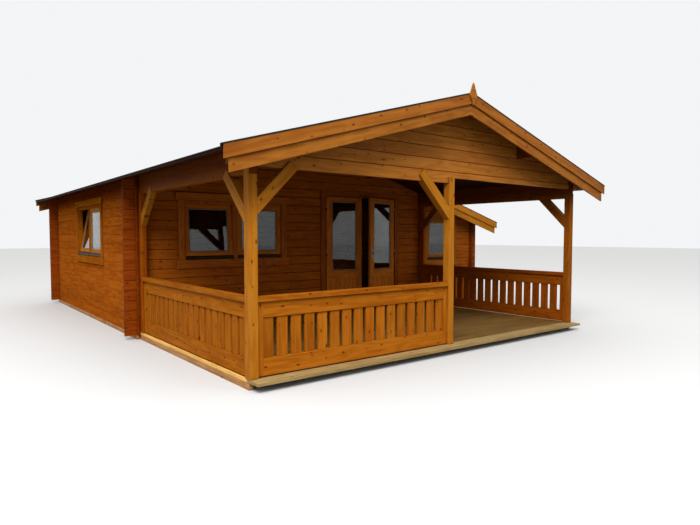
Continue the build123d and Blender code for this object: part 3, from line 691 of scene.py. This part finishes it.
front_start, side_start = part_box("front_window_frame")[0].x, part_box("side_window_frame")[1].y
annex_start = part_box("annex_window")[0].x
window("front_window", "front_window_frame", lambda u, d, v: Vector((front_start + u, front_y + d, v)), 2, front_lean)
window("annex_window", "annex_window", lambda u, d, v: Vector((annex_start + u, front_y + d, v)), 1)
window("side_window", "side_window_frame", lambda u, d, v: Vector((left_out + d, side_start - u, v)), 2, side_lean)

# Door panes: the right leaf mirrors the left one, and is turned about its hinge
hinge = next(Vector(j["pos_m"]) for j in frame["joints"] if j["name"] == "right_leaf_hinge")
turn = Matrix.Rotation(math.radians(door_ajar), 4, "Z")
meet_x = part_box("door_leaf_left")[1].x + leaf_gap


def left_pane(u, v, h):
    return Vector((u, pane_low.y - h, v))


def right_pane(u, v, h):
    return hinge + turn @ (left_pane(u, v, h) - hinge)


glazing("left_leaf", [((pane_low.x, pane_high.x, pane_low.z, pane_high.z), left_pane)], "left_leaf")
glazing("right_leaf", [((2 * meet_x - pane_high.x, 2 * meet_x - pane_low.x, pane_low.z, pane_high.z), right_pane)],
        "right_leaf")


UP, FORWARD = (0, 0, 1), (0, -1, 0)
head_profile, head_sides = [(1.0, 0.0), (0.9, 0.22), (0.55, 0.36), (0.32, 0.34), (0.22, 0.12)], 8


def heads(name, spots, radius):
    """Screw or nail heads: a low dome with a sunk middle, at (place, outward direction)."""
    bm = bmesh.new()
    for centre, out in spots:
        z = Vector(out).normalized()
        x = z.orthogonal().normalized()
        y = z.cross(x)
        rows = [[bm.verts.new(Vector(centre) + radius * (r * (math.cos(a) * x + math.sin(a) * y) + h * z))
                 for a in (math.tau * k / head_sides for k in range(head_sides))] for r, h in head_profile]
        skin(bm, rows)
        bm.faces.new(rows[-1])
    piece(name, bm, screw_metal, "cabin", True)


deck_screw, rail_screw, nail_head = 0.0042, 0.0038, 0.0055

# Deck screws: two in each board over each bearer but the outer two, a few millimetres out of line
bearer_pitch = (post_right - post_low.x - bearer_w) / (bearer_count - 1)
board_screws, last_board, last_screw = (0.03, 0.115), deck_high.y - 0.05, deck_high.y - 0.01
spots = []
y = deck_low.y
while y < last_board:
    for k in range(1, bearer_count - 1):
        x = post_low.x + bearer_w / 2 + k * bearer_pitch
        for part in board_screws:
            if y + part < last_screw:
                beside, along = rng.uniform(-0.004, 0.004), rng.uniform(-0.003, 0.003)
                spots.append(((x + beside, y + part + along, deck_high.z), UP))
    y += deck_board
heads("deck_screws", spots, deck_screw)

# Railing screws: two at each end of a slat, on its outer face
slat_face = (rail_low.y + rail_high.y) / 2 - slat_t / 2
screw_heights = (rail_low.z + 0.05, rail_low.z + 0.12, rail_high.z - 0.09, rail_high.z - 0.15)
heads("front_railing_screws", [((rail_low.x + stile_w + (k + 0.5) * slat_pitch, slat_face, z), FORWARD)
                               for k in range(slat_count) for z in screw_heights], rail_screw)


# Felt: strips lapped down each slope, a cap over the ridge, and edges turned down over the bargeboards
felt_low, felt_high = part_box("roofing_felt")
annex_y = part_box("roof_boards_annex")[0].y
field_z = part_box("roof_boards_left")[1].z + 0.0083  # the felt's face, carried on to the ridge
back_in, front_in, annex_in = felt_high.y - 0.046, felt_low.y + 0.046, annex_y + 0.010
wave_pitch, wave_size, most_lift = 0.25, 0.005, 0.0012
nail_pitch, first_nail, nail_drift, nail_run, nail_up = 0.25, 0.12, 0.02, 0.060, 0.0024


def on_slope(way, run, y, up):
    """A point on the field: way is -1 for the left slope and 1 for the right one, run is from the ridge."""
    return Vector((ridge_x + way * run, y, field_z - slope * run + up))


def lap(bm, way, run, y0, y1):
    """The lower edge of a strip, a little wavy, on the strip below it."""
    count = max(6, int((y1 - y0) / wave_pitch))
    rows = []
    for k in range(count + 1):
        y = y0 + (y1 - y0) * k / count
        wave, lift = rng.uniform(-wave_size, wave_size), rng.uniform(0.0, most_lift)
        outline = [(0.0, -0.001), (0.0, 0.0002), (lap_w - 0.003, 0.0034 + lift), (lap_w, 0.0026 + lift),
                   (lap_w, -0.001)]
        rows.append([bm.verts.new(on_slope(way, run + d + (wave if d else 0.0), y, up)) for d, up in outline])
    bar(bm, rows)


laps = bmesh.new()
nails = []
strips = [(-1, k, front_in) for k in range(3)] + [(1, k, front_in if k < 3 else annex_in) for k in range(4)]
for way, k, start in strips:
    run = lap_start + k * lap_pitch
    lap(laps, way, run, start, back_in)
    for n in range(int((back_in - start) / nail_pitch)):
        y = start + first_nail + n * nail_pitch + rng.uniform(-nail_drift, nail_drift)
        nails.append((on_slope(way, run + nail_run, y, nail_up), UP))
cap = [(-0.165, -0.001), (-0.165, 0.0028), (-0.06, 0.0036), (0.0, 0.0052), (0.06, 0.0036), (0.165, 0.0028),
       (0.165, -0.001), (0.0, -0.001)]
sweep(laps, cap, [lambda q, y=y: Vector((ridge_x + q[0], y, field_z - slope * abs(q[0]) + q[1]))
                  for y in (front_in, back_in)])
piece("felt_laps", laps, felt, "cabin")
heads("felt_nails", nails, nail_head)

# The turned-down edges: down the left slope, down the right one to the lean-to, and down the lean-to's own verge
turned_down = [(0.0, 0.0004), (0.0022, -0.0008), (0.0026, -0.013), (0.0008, -0.015), (0.0, -0.014)]
edge_steps, most_sag, hanging = 24, 0.003, -0.01  # the outline's points under hanging sag a little
verge_up, by_finial, by_eaves, main_end, annex_start_run = 0.025, 0.064, 0.016, 3.042, 3.046
barge_face, annex_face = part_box("bargeboards_front")[0].y + 0.020, annex_y - 0.036
edges = bmesh.new()
for way, run0, run1, face in ((-1, by_finial, ridge_x - felt_low.x - by_eaves, barge_face),
                              (1, by_finial, main_end, barge_face),
                              (1, annex_start_run, felt_high.x - ridge_x - by_eaves, annex_face)):
    places = []
    for k in range(edge_steps + 1):
        run, sag = run0 + (run1 - run0) * k / edge_steps, rng.uniform(0, most_sag)
        places.append(lambda q, way=way, run=run, face=face, sag=sag: on_slope(
            way, run, face - q[0], verge_up + q[1] - (sag if q[1] < hanging else 0.0)))
    sweep(edges, turned_down, places)
piece("felt_edges", edges, felt, "cabin")


# Studio: what gives light and what shows are picked apart, so that a pale background adds no light
FLOOR_LIT, FLOOR_SHOWN = (0.17, 0.17, 0.163, 1.0), (0.58, 0.58, 0.575, 1.0)
SKY_LIT, SKY_SHOWN = (1.0, 1.0, 1.0, 1.0), (0.90, 0.91, 0.92, 1.0)


def studio_floor(reach):
    bm = bmesh.new()
    bmesh.ops.create_grid(bm, x_segments=8, y_segments=8, size=reach)
    g = Material("studio_floor")
    colour = g.mix(g.seen(), FLOOR_LIT, FLOOR_SHOWN)
    mesh_object("studio_floor", bm, g.finish(colour, 0.9))


def studio_world(low, high):
    """Light that grows from low at the horizon to high at the zenith, and a pale backdrop."""
    world = bpy.data.worlds.new("studio")
    world.use_nodes = True
    bpy.context.scene.world = world
    g = Graph(world.node_tree)
    height = g.node("SeparateXYZ", {0: g.node("TexCoord").outputs["Generated"]}).outputs[2]
    strength = g.node("MapRange", {0: height, 1: 0.0, 2: 1.0, 3: low, 4: high}).outputs[0]
    light = g.node("Background", {"Color": SKY_LIT, "Strength": strength})
    backdrop = g.node("Background", {"Color": SKY_SHOWN, "Strength": 1.0})
    pick = g.node("MixShader", {0: g.seen(), 1: light.outputs[0], 2: backdrop.outputs[0]})
    g.node("OutputWorld", {"Surface": pick.outputs[0]})


def lamp(name, place, target, size, power):
    """A round lamp that faces its target."""
    data = bpy.data.lights.new(name, "AREA")
    data.shape = "DISK"
    data.size = size
    data.energy = power
    obj = bpy.data.objects.new(name, data)
    bpy.context.scene.collection.objects.link(obj)
    obj.location = place
    obj.rotation_euler = (Vector(target) - Vector(place)).to_track_quat("-Z", "Y").to_euler()


studio_floor(reach=60.0)
studio_world(low=0.38, high=1.65)
lamp("key", place=(-9.5, -11.5, 13.0), target=(-0.5, -1.0, 1.0), size=10.0, power=2750.0)
